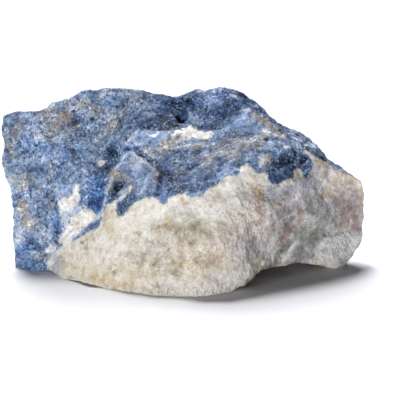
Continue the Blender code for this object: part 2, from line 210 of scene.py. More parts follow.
# Dull, greyish stone.
GREYER = [
    ([(14, 128), (12, 138), (9, 150)], 6, 0.8), ([(48, 113), (52, 125), (54, 136)], 8, 0.8),
    ([(72, 106), (92, 108), (104, 112)], 7, 0.7), ([(10, 175), (24, 182)], 7, 0.5), ((114, 122), 6, 1),
    ([(133, 103), (126, 112), (120, 120)], 6, 0.8), ([(98, 133), (112, 134)], 4, 0.6),
    ([(155, 122), (170, 126)], 8, 0.6), ([(142, 150), (160, 152), (172, 148)], 5, 0.7),
    ([(212, 152), (230, 148), (246, 142), (258, 142)], 10, 0.9), ([(206, 160), (212, 168)], 5, 0.7),
    ([(112, 172), (124, 176), (130, 186)], 6, 0.8), ([(52, 192), (52, 208)], 4, 0.8),
    ([(24, 205), (30, 223)], 6, 0.9), ([(38, 257), (46, 262)], 5, 0.8), ((236, 116), 5, 0.6),
    ([(152, 168), (157, 174)], 4, 0.8), ([(268, 156), (266, 164)], 5, 0.7),
    ([(242, 250), (256, 246), (268, 254)], 12, 0.7),
    # The right face is greyer than the belly: partly a grey stone, partly painted shade, as it faces away
    # from the light.
    ([(282, 200), (285, 225), (300, 250)], 17, 1), ([(270, 190), (286, 192), (302, 186)], 9, 0.9),
    ([(318, 185), (325, 215), (340, 240), (355, 225)], 24, 1),
]

# Crumbs and films of calcite on the blue stone.
WHITE = [
    ([(168, 145), (176, 142), (184, 141)], 2.5, 0.5), ([(47, 250), (54, 246)], 4, 0.7),
    ((101, 162.5), 3, 1.8), ((189.5, 112.5), 1.6, 1.2), ((149, 117), 2.4, 0.4),
    ([(231, 95), (238, 98)], 2, 0.6), ([(104, 92), (98, 100), (112, 93)], 2.2, 0.5),
    ([(157, 131.5), (170, 132.5)], 1.3, 0.45), ([(128, 145), (143, 144.5)], 1.5, 0.5),
    ([(150, 136), (157, 135)], 1.5, 0.8), ([(162, 145.5), (168, 148)], 2, 1),
    ([(144, 150), (152, 155)], 2.2, 0.6), ([(150, 149), (162, 148)], 1.8, 0.5),
    ([(172, 149), (184, 147), (190, 145)], 1.5, 0.6),
    ([(208, 160), (222, 153), (238, 148), (250, 139)], 5, 0.25), ([(244, 109.5), (250, 110.5)], 2.2, 0.6),
    ([(262, 130), (270, 133), (284, 136)], 2.5, 0.6), ((286.5, 146.5), 2.5, 0.9),
    ([(264, 156), (262, 163)], 3.5, 0.6), ([(131, 188), (127, 192), (121, 198), (115, 202)], 2.4, 0.65),
    ((30, 223), 4, 0.7), ((25, 206), 4, 0.5), ((113, 124), 4, 0.5), ([(84, 166), (92, 160)], 3, 0.3),
]

# Rust.
OCHRE = [
    ([(62, 115), (68, 119)], 4, 1.5), ([(56, 124), (76, 126)], 5, 0.6), ((22, 124), 4, 0.7),
    ((67, 132), 4, 0.6), ((82, 138), 3, 0.6), ((54, 132), 3, 0.5), ((98, 113), 4, 0.5), ((72, 104), 3, 0.4),
    ((109, 127), 3, 0.7), ((25, 206), 4, 0.6), ((40, 258), 3.5, 0.5), ((10, 146), 4, 0.5),
    ([(193, 148), (201, 145)], 3, 1), ((201, 168), 2.6, 0.9), ((130, 164), 2.4, 1),
    ([(113, 173), (116, 180)], 4, 0.8), ([(124, 170), (127, 180)], 4, 0.4),
    ([(112, 188), (110, 192)], 2.5, 0.6), ([(132, 188), (124, 194)], 2.5, 0.6), ((152, 155), 2, 0.6),
    ((262, 135.5), 3, 1.1), ([(266, 162), (266, 170)], 2, 0.9), ((130, 91), 3, 0.6), ((238, 147), 3, 0.4),
    ((182.5, 199), 2, 1.5), ((210, 206), 1.8, 1.3), ((173, 208), 2.5, 0.5),
    ([(165, 227), (170, 221)], 3, 0.6), ((200, 234), 3, 0.5), ([(253, 188), (260, 190)], 4, 0.45),
    ([(68, 262), (98, 272), (128, 281)], 16, 0.4), ([(74, 266), (100, 278), (124, 284)], 6, 0.6),
    ([(176, 268), (196, 266), (212, 270)], 8, 0.45), ([(70, 258), (78, 254)], 5, 0.5),
    ([(138, 274), (146, 276)], 6, 0.45), ([(188, 279), (206, 278)], 8, 0.4),
    ([(108, 232), (112, 222)], 6, 0.3), ([(334, 184), (333, 192)], 5, 0.6), ((325, 195), 3, 1),
    ([(336, 180), (332, 190)], 5, 0.6), ([(319, 162), (328, 166)], 2.5, 0.7),
    ([(340, 172), (350, 180)], 4, 0.4), ((298, 183), 2, 0.7),
]

# Pink feldspar.
ROSY = [
    ((184, 204), 3, 0.6), ([(255, 187), (259, 200), (258, 226)], 5, 0.7),
    ([(214, 252), (222, 238), (234, 226)], 12, 0.45), ([(160, 228), (166, 224)], 3, 0.5),
    ([(237, 243), (246, 234), (252, 226)], 6, 0.6), ([(180, 250), (194, 254)], 9, 0.35),
    ([(205, 262), (216, 267)], 6, 0.4), ([(301, 206), (299.5, 219), (296, 226)], 2.6, 0.6),
    ([(292, 228), (287, 232), (284, 238), (281, 247)], 3, 0.55), ([(271, 216), (275, 229)], 2.6, 0.6),
    ((346, 222), 4.5, 0.6), ((319, 204), 3, 0.6), ([(346, 190), (354, 208), (352, 222)], 13, 0.5),
    ([(322, 172), (326, 182)], 4, 0.5), ([(278, 205), (272, 222)], 8, 0.3),
]

# Facets that broke along one crystal, and show few grains.
SMOOTH = [
    ([(208, 164), (224, 168), (236, 172)], 9, 0.8), ([(212, 154), (232, 152)], 6, 0.4),
    ([(150, 98), (176, 94)], 5, 0.4), ([(240, 96), (250, 104)], 5, 0.5),
]

# Greenish grey grains in the matrix.
MOSSY = [
    ([(178, 222), (190, 218), (196, 228), (184, 234)], 9, 0.45), ([(174, 264), (177, 276)], 5, 0.5),
    ([(140, 262), (147, 250)], 8, 0.35), ([(165, 288), (178, 284)], 7, 0.35),
    ([(244, 262), (250, 250), (254, 240)], 4, 0.5), ([(227, 276), (229, 266)], 3, 0.4),
    ([(278, 263), (279, 256), (284, 248), (289, 241)], 2.8, 1.3), ([(308, 200), (311, 212)], 4, 0.9),
    ([(303, 252), (314, 238), (324, 222)], 8, 0.6), ([(293, 236), (302, 229)], 4, 0.7),
    ([(332, 224), (342, 226)], 5, 0.4), ([(352, 260), (359, 250), (363, 242)], 2.8, 1.1),
    ([(296, 250), (300, 238)], 5, 0.4),
]

# Each kind's marks and, where the photograph doesn't show the stone and chance places them, the size in mm
# of its blotches, how much of the surface they take and their strength.
KINDS = {
    "darker": (DARKER, 9.0, 0.35, 0.6),
    "lighter": (LIGHTER, 7.0, 0.3, 0.4),
    "bluer": (BLUER, 8.0, 0.35, 0.7),
    "greyer": (GREYER, 9.0, 0.3, 0.8),
    "white": (WHITE, 6.0, 0.12, 0.5),
    "ochre": (OCHRE, 6.0, 0.15, 0.8),
    "rosy": (ROSY, 8.0, 0.15, 0.6),
    "mossy": (MOSSY, 7.0, 0.15, 0.6),
    "smooth": (SMOOTH, 7.0, 0.2, 0.7),
    "lilac": (LILAC, 6.0, 0.12, 0.6),
}

AREA_EDGE = 4.0  # pixels from the full strength of an area to none of it

# Larger patches with an outline of their own, and what each adds.
AREAS = [
    # The white calcite left of the block, with the pinkish one above it and blue windows between.
    ([(62, 236), (66, 230), (71, 223), (73, 217), (80, 214), (86, 210.5), (93, 210), (95, 214), (92, 220),
      (88, 225), (80, 229), (73, 235), (70, 243), (64, 247), (61, 242)], {"white": 3.0}),
    ([(59, 202), (65, 197), (72, 193), (74, 187), (78, 183), (79, 190), (79, 198), (77, 205), (71, 209),
      (64, 212), (60, 211)], {"white": 0.85, "rosy": 0.35}),
    ([(54, 188), (61, 184), (70, 182), (79, 184), (79, 204), (86, 203), (88, 208), (98, 213), (100, 219),
      (92, 222), (70, 244), (60, 246), (60, 220)], {"lighter": 1.25, "bluer": 0.4, "smooth": 0.7}),
    ([(62, 185), (68, 184), (69, 191), (66, 196), (61, 195)], {"bluer": 1.2, "darker": 0.1}),
    ([(75, 236), (81, 231), (85, 232), (83, 236), (77, 238)], {"bluer": 1.2, "darker": 0.2}),
    # The deep blue beside the block's edge, and dark grains with painted shade in the groove above it.
    ([(88, 181), (96, 178), (103, 184), (104, 198), (101, 208), (97, 214), (92, 210), (87, 204), (88, 194)],
     {"bluer": 1.3, "darker": 0.45}),
    ([(104, 152), (112, 147), (120, 152), (116, 162), (110, 170), (106, 182), (102, 180), (104, 168),
      (100, 162)], {"darker": 0.75}),
    # The corner of the block, smooth and violet blue, made lighter: a paler blue, and painted light where
    # it faces up.
    ([(138, 128.5), (152, 130), (166, 132.5), (171, 134.5), (166, 141), (158, 146), (144, 147), (132, 149),
      (121, 154), (123, 149), (128, 143), (134, 135)], {"bluer": 1.0, "lighter": 0.7, "smooth": 0.9}),
    # The flake.
    ([(121, 162), (127, 153), (131.5, 152), (139, 158), (147, 163), (155, 168), (160.5, 173), (158, 181),
      (150, 187), (144, 180), (136, 172), (126, 170), (118, 170)],
     {"lighter": 0.3, "greyer": 0.3, "smooth": 0.7}),
    # The wall above the shelf, a deeper blue, darkened with painted shade in its hollow.
    ([(148, 124), (146, 115), (156, 106), (168, 101), (180, 97), (192, 96), (199, 101), (196, 110),
      (190, 114), (186, 122), (177, 127), (165, 129), (154, 129)], {"darker": 0.65, "bluer": 0.5}),
    # The calcite lens on the shelf, rusty along its lower left.
    ([(171, 135), (176, 130.5), (183, 129), (190, 127.5), (195, 127), (197, 131.5), (206, 132),
      (215, 132.5), (213, 136), (202, 138), (190, 137.5), (180, 134.5)], {"white": 1.6}),
    ([(163, 143), (169, 138), (175, 134.5), (184, 135.5), (192, 138), (184, 141), (174, 143), (168, 148),
      (160, 149), (158, 146)], {"ochre": 0.8, "white": 0.55}),
    # The shelf in front of the lens, duller and darker.
    ([(150, 158), (165, 152), (182, 149), (198, 151), (206, 156), (200, 164), (196, 172), (202, 182),
      (200, 190), (180, 192), (165, 189), (160, 178), (158, 168)], {"darker": 0.25, "greyer": 0.3}),
    # The hollow at the right end of the shelf, in three lobes, darkened partly as painted shade and partly
    # as navy stone.
    ([(267, 166), (278, 162), (283, 156), (288, 150), (295, 147), (298, 152), (296, 159), (293, 164),
      (284, 168), (276, 171), (267, 174)], {"darker": 0.95}),
    ([(297, 160), (300, 155), (304, 153), (308, 158), (306, 163), (300, 167), (296, 166)],
     {"darker": 0.95}),
    ([(268, 176), (276, 172), (286, 168), (294, 163), (299, 168), (294, 177), (291, 180), (283, 182),
      (277, 185), (269, 184)], {"darker": 0.6, "bluer": 0.8, "smooth": 0.6}),
    ([(301, 170), (304, 163), (310, 160), (312, 166), (308, 177), (305, 178)],
     {"darker": 0.4, "bluer": 0.9}),
    # The slope beside the peak, crushed and light, and the tan rim of the far slope.
    ([(222, 130), (234, 122), (246, 113), (253, 116), (262, 124), (270, 131), (256, 134), (238, 133)],
     {"lighter": 0.45, "bluer": 0.8, "smooth": 0.6}),
    ([(248, 107), (256, 112), (268, 121), (280, 131), (288, 138), (279, 136), (266, 128), (252, 115)],
     {"ochre": 0.7, "white": 0.4, "greyer": 1.0}),
]

# Small steps of the fracture: their line in pixels, height in mm, how far in mm the raised side runs out,
# and the depth of the groove at their foot as a share of the height. The raised side is on the right
# hand of someone who walks along the line in the photograph, or on the left where the height is negative.
STEP_EDGE = 0.5  # mm over which a step rises
GROOVE_WIDTH = 0.6  # mm
STEPS = {
    "flake": ([(122, 161), (127, 153), (132, 152), (138, 158), (147, 163), (155, 169), (160, 174),
               (158, 181), (157, 186)], 0.5, 4.0, 0.2),
    "edge of the block": ([(139, 130), (128, 142), (121, 153), (114, 172), (106, 196), (99, 218)],
                          -0.5, 1.6, 0.8),
    "shelf below the wall": ([(140, 129), (152, 130), (168, 132), (178, 127), (196, 126), (204, 131),
                              (220, 130), (234, 122), (248, 111)], 0.6, 2.5, 0.8),
    "border of the calcite": ([(54, 190), (57, 205), (60, 222), (62, 240)], -0.5, 3.0, 0.6),
    "crack of the slope": ([(303, 147), (310, 151.5), (316, 155.5), (322, 160)], 0.5, 1.5, 1.2),
    "crest of the slope": ([(246, 104), (266, 123), (288, 138)], 0.4, 1.5, 0.6),
    "lower right facet": ([(318, 238), (340, 233), (348, 231.5)], 0.25, 4.0, 0.0),
    "seam of the right face": ([(279, 250), (288, 232), (302, 208)], 0.3, 2.5, 0.5),
}

# Pits: their middle in pixels, radius in pixels and depth in mm.
PITS = [
    ((181, 118), 4.6, 1.5), ((120.5, 186), 4.2, 1.2), ((238, 107), 3, 0.7), ((234, 112), 4, 0.6),
    ((235, 117.5), 4, 0.3), ((76, 120), 3.5, 0.7), ((92, 121), 3, 0.5), ((73, 150), 3.2, 0.7),
    ((39, 169), 3.4, 0.6), ((31, 170), 2.4, 0.4), ((12, 170), 2.6, 0.4), ((33, 242), 3.4, 0.7),
    ((120.5, 126), 2.6, 0.7), ((103, 97), 3, 0.6), ((172, 178), 3, 0.5), ((288, 159), 6.5, 0.9),
    ((302, 159), 4.4, 0.7), ((114, 152), 4, 0.5), ((111, 161), 4, 0.6), ((196, 189), 3, 0.3),
    ((268, 140), 3, 0.4), ((82, 243), 2, 0.4), ((86, 247), 2, 0.4), ((114, 273), 2.2, 0.5),
    ((113, 193), 2.6, 0.5), ((118, 198), 2.6, 0.5), ((18, 197), 3, 0.3), ((280, 166), 4, 0.5),
    # Chips out of the belly's lower edge.
    ((68, 276), 3, 0.5), ((101, 287), 2.4, 0.5), ((112, 290), 3.4, 0.6), ((141, 296), 4, 0.6),
    ((166, 298), 3, 0.4), ((208, 297), 3, 0.5), ((224, 296), 4, 0.6), ((240, 290), 3, 0.6),
    ((249, 281), 3, 0.6),
]


# Mesh arrays


def merged_copy(node):
    """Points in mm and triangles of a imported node, with points in one place made one."""
    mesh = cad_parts[node].data
    mesh.calc_loop_triangles()
    places = np.empty(len(mesh.vertices) * 3)
    mesh.vertices.foreach_get("co", places)
    faces = np.empty(len(mesh.loop_triangles) * 3, int)
    mesh.loop_triangles.foreach_get("vertices", faces)
    places = places.reshape(-1, 3) / MM
    _, first, same = np.unique(np.round(places, 4), axis=0, return_index=True, return_inverse=True)
    return places[first], same.ravel()[faces].reshape(-1, 3)


def facings(places, faces):
    """Unit normals at the points: the sum of the area vectors of the triangles around each."""
    a, b, c = (places[faces[:, i]] for i in range(3))
    area = np.cross(b - a, c - a)
    total = np.stack([
        sum(np.bincount(faces[:, corner], area[:, axis], len(places)) for corner in range(3))
        for axis in range(3)
    ], axis=1)
    return total / np.maximum(np.linalg.norm(total, axis=1, keepdims=True), 1e-12)


def finer(places, faces, cuts, rounding):
    """Cuts each triangle into cuts x cuts, and rounds it.

    A new point is the mean of the corners by its shares b0, b1 and b2. Seen from each corner it is also
    dropped onto that corner's tangent plane, and the mean of those three feet, by the same shares, is the
    rounded place. The point moves a given part of the way there.
    """
    normals = facings(places, faces)
    shares = np.array([(i, j, cuts - i - j) for i in range(cuts + 1) for j in range(cuts + 1 - i)])
    corners, tips = places[faces], normals[faces]
    flat = np.einsum("sc,fcx->fsx", shares / cuts, corners)
    lift = np.einsum("fscx,fcx->fsc", flat[:, :, None] - corners[:, None], tips)
    feet = flat[:, :, None] - lift[..., None] * tips[:, None]
    rounded = np.einsum("sc,fscx->fsx", shares / cuts, feet)
    made = flat + rounding * (rounded - flat)

    # A point on an edge is made once by each side: the corners with their shares, in order, name it.
    tags = np.where(shares[None] > 0, faces[:, None] * (cuts + 1) + shares[None], 0)
    tags = np.sort(tags, axis=2).astype(np.int64)
    span = np.int64(len(places) * (cuts + 1) + cuts + 1)
    names = (tags[..., 0] * span + tags[..., 1]) * span + tags[..., 2]
    _, first, same = np.unique(names.ravel(), return_index=True, return_inverse=True)

    row = {(i, j): at for at, (i, j, _) in enumerate(shares.tolist())}
    up = [(row[i, j], row[i + 1, j], row[i, j + 1])
          for i in range(cuts) for j in range(cuts - i)]
    down = [(row[i + 1, j], row[i + 1, j + 1], row[i, j + 1])
            for i in range(cuts) for j in range(cuts - 1 - i)]
    pattern = np.array(up + down)
    small = same.reshape(len(faces), -1)[:, pattern].reshape(-1, 3)
    return made.reshape(-1, 3)[first], small


# The photograph's frame


def seen_at(places):
    """Where each point lies in the photograph's frame: its column and row in pixels."""
    rise, fall = math.cos(CAMERA_RISE), math.sin(CAMERA_RISE)
    x, y, z = (places - CAMERA_AIM).T
    depth = CAMERA_DISTANCE + y * rise - z * fall
    half = FRAME_PIXELS / 2
    return np.stack([half + FOCAL_PIXELS * x / depth,
                     half - FOCAL_PIXELS * (y * fall + z * rise) / depth], axis=1)


def from_line(pixels, line):
    """Distance in pixels to a line of points or a single one, and on which side: 1 on its right hand."""
    line = np.array(line, float).reshape(-1, 2)
    if len(line) == 1:
        return np.linalg.norm(pixels - line[0], axis=1), np.ones(len(pixels))
    nearest = np.full(len(pixels), np.inf)
    side = np.ones(len(pixels))
    for start, end in zip(line[:-1], line[1:]):
        along = end - start
        part = np.clip(((pixels - start) @ along) / (along @ along), 0, 1)
        away = pixels - start - part[:, None] * along
        distance = np.linalg.norm(away, axis=1)
        turn = along[0] * away[:, 1] - along[1] * away[:, 0]
        closer = distance < nearest
        nearest = np.where(closer, distance, nearest)
        side = np.where(closer, np.where(turn >= 0, 1.0, -1.0), side)
    return nearest, side


def inside(pixels, outline):
    """Whether each point is in a closed outline: a ray to its right crosses it an odd number of times."""
    within = np.zeros(len(pixels), bool)
    x, y = pixels.T
    for (x0, y0), (x1, y1) in zip(outline, outline[1:] + outline[:1]):
        if y0 == y1:
            continue
        crosses = (y0 > y) != (y1 > y)
        within ^= crosses & (x < x0 + (y - y0) * (x1 - x0) / (y1 - y0))
    return within


def smooth(value):
    """0 below 0, 1 above 1, and an S-curve between."""
    value = np.clip(value, 0, 1)
    return value * value * (3 - 2 * value)


def depth_in(pixels, outline):
    """Distance in pixels to a closed outline, more than 0 inside it and less than 0 outside."""
    distance, _ = from_line(pixels, outline + outline[:1])
    return np.where(inside(pixels, outline), distance, -distance)


def depth_in_matrix(pixels):
    """Distance in mm to the contact, more than 0 in the pale matrix and less than 0 in the blue stone."""
    return depth_in(pixels, MATRIX_OUTLINE) / PIXELS_PER_MM


def marks_of(kind, pixels, moves):
    """The strongest mark of one kind at each point.

    A mark is full up to 3/8 of its half width and gone at 13/8 of it. The pixels are moved about a
    little, less for a thin line, so that its edge follows the rock.
    """
    strongest = np.zeros(len(pixels))
    for line, reach, strength in KINDS[kind][0]:
        distance, _ = from_line(pixels + min(reach / 4, 1) * moves, line)
        strongest = np.maximum(strongest, strength * np.clip(1.3 - 0.8 * distance / reach, 0, 1))
    for outline, adds in AREAS:
        if kind in adds:
            share = smooth(0.5 + depth_in(pixels + moves, outline) / AREA_EDGE)
            strongest = np.maximum(strongest, adds[kind] * share)
    return strongest


# Relief of the broken surface

BEDDING = (0.82, 0.1, 0.56)  # the way the streaks of the rock run, up to the right

# The break of each stone, coarse to fine: the depth of its scoops and their size, both in mm, their seed
# and tilt, and how much they are drawn out along the bedding.
BLUE_BREAK = ((0.75, 5.0, 21, 1.3, 1.7), (0.55, 2.4, 31, 1.2, 1.7), (0.4, 1.2, 41, 1.0, 1.0))
PALE_BREAK = ((0.4, 6.0, 61, 0.9, 1.0), (0.42, 2.8, 71, 1.0, 1.0), (0.3, 1.2, 81, 1.0, 1.0))
CONTACT_WIDTH = 1.2  # mm over which the break changes from one stone's to the other's

# The pits between the blue stone's scoops: depth and size in mm, seed, and share of the lattice cells.
POCK_DEPTH = 0.35
POCKS = (2.6, 51, 0.3)


def lattice_random(cells, seed):
    """A repeatable number from 0 to 1 for each lattice cell: its indices times large primes, stirred."""
    x, y, z = (cells[:, i].astype(np.int64).astype(np.uint32) for i in range(3))
    mixed = x * np.uint32(73856093) ^ y * np.uint32(19349663) ^ z * np.uint32(83492791)
    mixed = mixed + np.uint32(seed * 7919)
    for shift, factor in ((16, 0x7FEB352D), (15, 0x846CA68B)):
        mixed = (mixed ^ (mixed >> np.uint32(shift))) * np.uint32(factor)
    return (mixed ^ (mixed >> np.uint32(16))) / 2.0**32


def lattice_three(cells, seed):
    """Three such numbers for each lattice cell."""
    return np.stack([lattice_random(cells, seed + i) for i in range(3)], axis=1)


def spots_around(places, size, seed):
    """Each lattice cell around the points in turn, and how far they are from its random spot, in cells."""
    scaled = places / size
    cell = np.floor(scaled)
    for offset in np.ndindex(3, 3, 3):
        there = cell + np.array(offset) - 1
        yield there, scaled - there - lattice_three(there, seed)


def drift(places, size, seed):
    """Smooth random numbers from -1 to 1: those of the lattice corners around, blended by S-curves."""
    scaled = places / size
    cell = np.floor(scaled)
    blend = smooth(scaled - cell)
    total = np.zeros(len(places))
    for offset in np.ndindex(2, 2, 2):
        share = np.prod(np.where(offset, blend, 1 - blend), axis=1)
        total += share * lattice_random(cell + np.array(offset), seed)
    return 2 * total - 1


def wandering(places):
    """Smooth random moves over the stone in pixels, at three sizes."""
    moves = [drift(places, 3.5, seed) + drift(places, 1.3, seed + 5) + drift(places, 0.8, seed + 9)
             for seed in (91, 92)]
    return 1.3 * np.stack(moves, axis=1)


def scoops(places, size, seed, tilt):
    """Height of scooped rock, a scoop being about 1 deep: at each point the lowest of the bowls around it.

    Each lattice cell holds one bowl, at a random spot: distance squared, plus the distance along a
    random direction times the tilt. Bowls meet in sharp ridges. The mean is taken off.
    """
    lowest = np.full(len(places), np.inf)
    for there, away in spots_around(places, size, seed):
        lean = lattice_three(there, seed + 3) - 0.5
        lowest = np.minimum(lowest, (away**2).sum(axis=1) + tilt * (away * lean).sum(axis=1))
    return lowest - lowest.mean()


def pocks(places, size, seed, share):
    """Depth of scattered pits, 1 in the middle of one: round spots in a share of the lattice cells."""
    deepest = np.zeros(len(places))
    for there, away in spots_around(places, size, seed):
        width = 0.25 + 0.3 * lattice_random(there, seed + 3)
        gone = np.linalg.norm(away, axis=1) / width
        deepest = np.maximum(deepest, smooth(1.4 - gone) * (lattice_random(there, seed + 4) < share))
    return deepest


def streaked(places, along, stretch):
    """Places squeezed along one direction, so that a pattern worked out on them comes out stretched."""
    along = np.array(along) / np.linalg.norm(along)
    return places - (places @ along)[:, None] * along * (1 - 1 / stretch)


def blotches(places, kind):
    """Marks by chance: pits of the kind's size in its share of the cells, with their edges wandering."""
    _, size, share, strength = KINDS[kind]
    seed = 200 + 10 * list(KINDS).index(kind)
    moved = places + np.stack([drift(places, 2.5, seed + 6 + i) for i in range(3)], axis=1)
    return strength * pocks(moved, size, seed, share)


def steps_of(pixels):
    """Push in mm from the small steps: full at the line on the raised side, gone where it runs out."""
    push = np.zeros(len(pixels))
    for line, height, run_out, groove in STEPS.values():
        distance, side = from_line(pixels, line)
        distance = distance / PIXELS_PER_MM
        raised = abs(height) * np.exp(-distance / run_out) * smooth(distance / STEP_EDGE + 0.5)
        sunk = -groove * abs(height) * np.exp(-distance / GROOVE_WIDTH)
        push += np.where(side * height > 0, raised, sunk)
    return push


def pits_of(pixels):
    """Depth in mm of the single pits: smooth cups, each gone at 1.35 times its radius."""
    deep = np.zeros(len(pixels))
    for middle, radius, depth in PITS:
        gone = np.linalg.norm(pixels - np.array(middle), axis=1) / radius
        deep = np.maximum(deep, depth * smooth(1.35 - gone))
    return deep


def broken(places, layers):
    """Height in mm of a stone's break: its layers of scoops added up."""
    return sum(depth * scoops(streaked(places, BEDDING, stretch), size, seed, tilt)
               for depth, size, seed, tilt, stretch in layers)


def relief(places, shown, matrix):
    """Push in mm at each point, and the part of it that comes from the break, for the colours.

    The blue stone has pits between its scoops. The matrix breaks more softly, in lumps with a sugary
    grain. The small steps and single pits are only on the side that the photograph shows.
    """
    blue = broken(places, BLUE_BREAK) - POCK_DEPTH * pocks(places, *POCKS)
    pale_share = smooth(matrix / CONTACT_WIDTH + 0.5)
    grain = blue * (1 - pale_share) + broken(places, PALE_BREAK) * pale_share
    pixels = seen_at(places)
    return grain + shown * (steps_of(pixels) - pits_of(pixels + wandering(places))), grain


TURNED_AWAY = 0.15  # a face that leans less than this towards the camera counts as partly hidden
WHITE_LIGHTENS = 0.6  # what a white mark adds to the tone
CARRIED = ("white", "ochre", "rosy", "mossy", "lilac", "smooth")  # marks that the points carry as they are


def stone_arrays():
    """Points in mm, triangles and point values of the finished stone.

    Each point is pushed out along its normal by the relief, but not out of the solid's box. Its tone
    is what lightens it less what darkens it, and its hue what makes it bluer less what makes it greyer.
    """
    places, faces = finer(*merged_copy(NODE), CUTS, ROUNDING)
    low, high = (np.array(corner) / MM for corner in cad_box)
    normals = facings(places, faces)
    to_camera = np.array((0, -math.cos(CAMERA_RISE), math.sin(CAMERA_RISE)))
    shown = smooth((normals @ to_camera) / TURNED_AWAY)
    matrix = depth_in_matrix(seen_at(places))
    push, grain = relief(places, shown, matrix)
    rising = smooth(places[:, 2] / FEET_HEIGHT)
    places = np.clip(places + normals * (push * rising)[:, None], low, high)
    pixels = seen_at(places)
    moves = wandering(places)
    marks = {
        kind: shown * marks_of(kind, pixels, moves) + (1 - shown) * blotches(places, kind)
        for kind in KINDS
    }
    values = {kind: marks[kind] for kind in CARRIED}
    values["tone"] = marks["lighter"] + WHITE_LIGHTENS * marks["white"] - marks["darker"]
    values["hue"] = marks["bluer"] - marks["greyer"]
    values["grain"] = grain
    values["matrix"] = depth_in_matrix(pixels)
    return places, faces, values


def make_mesh(name, places, faces, values):
    """An object at the origin with these points in mm, triangles and named point values."""
    mesh = bpy.data.meshes.new(name)
    mesh.vertices.add(len(places))
    mesh.vertices.foreach_set("co", (places * MM).astype(np.float32).ravel())
    mesh.loops.add(len(faces) * 3)
    mesh.loops.foreach_set("vertex_index", faces.astype(np.int32).ravel())
    mesh.polygons.add(len(faces))
    mesh.polygons.foreach_set("loop_start", np.arange(0, len(faces) * 3, 3, dtype=np.int32))
    mesh.update(calc_edges=True)
    mesh.polygons.foreach_set("use_smooth", np.ones(len(faces), bool))
    for key, value in values.items():
        mesh.attributes.new(key, "FLOAT", "POINT").data.foreach_set("value", value.astype(np.float32))
    mesh.validate()
    piece = bpy.data.objects.new(name, mesh)
    bpy.context.scene.collection.objects.link(piece)
    return piece


# Materials


def colour(code):
    """A linear colour from an sRGB hex code."""
    parts = [int(code[i:i + 2], 16) / 255 for i in (1, 3, 5)]
    return [p / 12.92 if p <= 0.04045 else ((p + 0.055) / 1.055)**2.4 for p in parts] + [1.0]


def per_metre(millimetres):
    """The scale of a pattern whose features are that far apart."""
    return 1 / (millimetres * MM)


def add(tree, kind, inputs, stops=(), out=0, **settings):
    """Adds a node with its settings and gives one of its outputs.

    An input is set, or linked where its value is a socket. A hex code stands for its colour, and the
    stops of a ramp are pairs of a place and a hex code.
    """
    made = tree.nodes.new("ShaderNode" + kind)
    for key, value in settings.items():
        setattr(made, key, value)
    for key, value in inputs.items():
        if isinstance(value, bpy.types.NodeSocket):
            tree.links.new(value, made.inputs[key])
        else:
            made.inputs[key].default_value = colour(value) if isinstance(value, str) else value
    if stops:
        ramp = made.color_ramp.elements
        ramp.remove(ramp[1])
        ramp[0].position, ramp[0].color = stops[0][0], colour(stops[0][1])
        for place, code in stops[1:]:
            ramp.new(place).color = colour(code)
    return made.outputs[out]


def weighted(tree, start, *terms):
    """A number plus a row of values, each times its own weight."""
    total = start
    for value, weight in terms:
        total = add(tree, "Math", {0: value, 1: weight, 2: total}, operation="MULTIPLY_ADD")
    return total


def clouds(tree, where, start, *rows):
    """A number plus a row of cloudy patterns about 0.5, each times its own weight.

    A row holds the size of the clouds in mm, their detail, roughness and weight. Where it goes on with
    two limits, an S-curve first takes the pattern from 0 at the first limit to 1 at the second.
    """
    total = start
    for size, detail, rough, weight, *limits in rows:
        cloud = add(tree, "TexNoise", {
            "Vector": where, "Scale": per_metre(size), "Detail": detail, "Roughness": rough,
        })
        if limits:
            cloud = add(tree, "MapRange", {"Value": cloud, "From Min": limits[0], "From Max": limits[1]},
                        interpolation_type="SMOOTHSTEP")
        total = weighted(tree, total, (cloud, weight))
    return total


def laid_over(tree, below, above, by, low, high, most=1.0):
    """One colour laid over another by a value: an S-curve from not at all at low to its most at high."""
    share = add(tree, "MapRange", {"Value": by, "From Min": low, "From Max": high, "To Max": most},
                interpolation_type="SMOOTHSTEP")
    return add(tree, "Mix", {0: share, 6: below, 7: above}, out=2, data_type="RGBA")


GRAIN_SIZE = 0.55  # mm, the crystals of the rock
WHITENING = (1.0, 1.0, 0.8)  # a lighter grain is whiter: its blue rises less than its red and green
BEDDING_TURN = Vector(BEDDING).to_track_quat("X", "Z").to_euler()

# The colours of the stones, and the values from dark to light at which they stand.
BLUE_VALUES = (0.0, 0.17, 0.34, 0.5, 0.66, 0.82, 1.0)
BLUE = ("#0a1121", "#183253", "#3a567c", "#60799f", "#869dbd", "#aebed5", "#dce0e6")
DULL_BLUE = ("#0f1217", "#283241", "#4a5567", "#717885", "#989ba0", "#bfbcb9", "#e2e0d8")
VIVID_BLUE = ("#041128", "#003261", "#24568f", "#5379b0", "#7e9dcb", "#abbede", "#d9e0ec")
PALE_VALUES = (0.0, 0.25, 0.42, 0.57, 0.72, 0.9)
CREAM = ("#63574d", "#988d7d", "#beb3a1", "#d7cebc", "#e5e0d5", "#efebe3")
GREY = ("#444243", "#787575", "#a19d9c", "#bdb9b7", "#d7d4d2", "#e8e7e6")
CRUSHED_GRAIN_AND_GLINT = "#b3c0d7"

# The stains on each stone: the value that leads one, its colour, the size in mm of its ragged edge, the
# strength at which it starts and the most that it covers.
BLUE_STAINS = (("white", "#fff9ee", 1.0, 0.2, 0.97), ("ochre", "#a28d63", 1.1, 0.1, 0.6))
PALE_STAINS = (("lilac", "#92a0bc", 1.3, 0.1, 0.6), ("mossy", "#7f8378", 1.8, -0.05, 0.75),
               ("ochre", "#c8ad76", 1.8, -0.05, 0.7), ("rosy", "#a07467", 1.6, -0.05, 0.65))


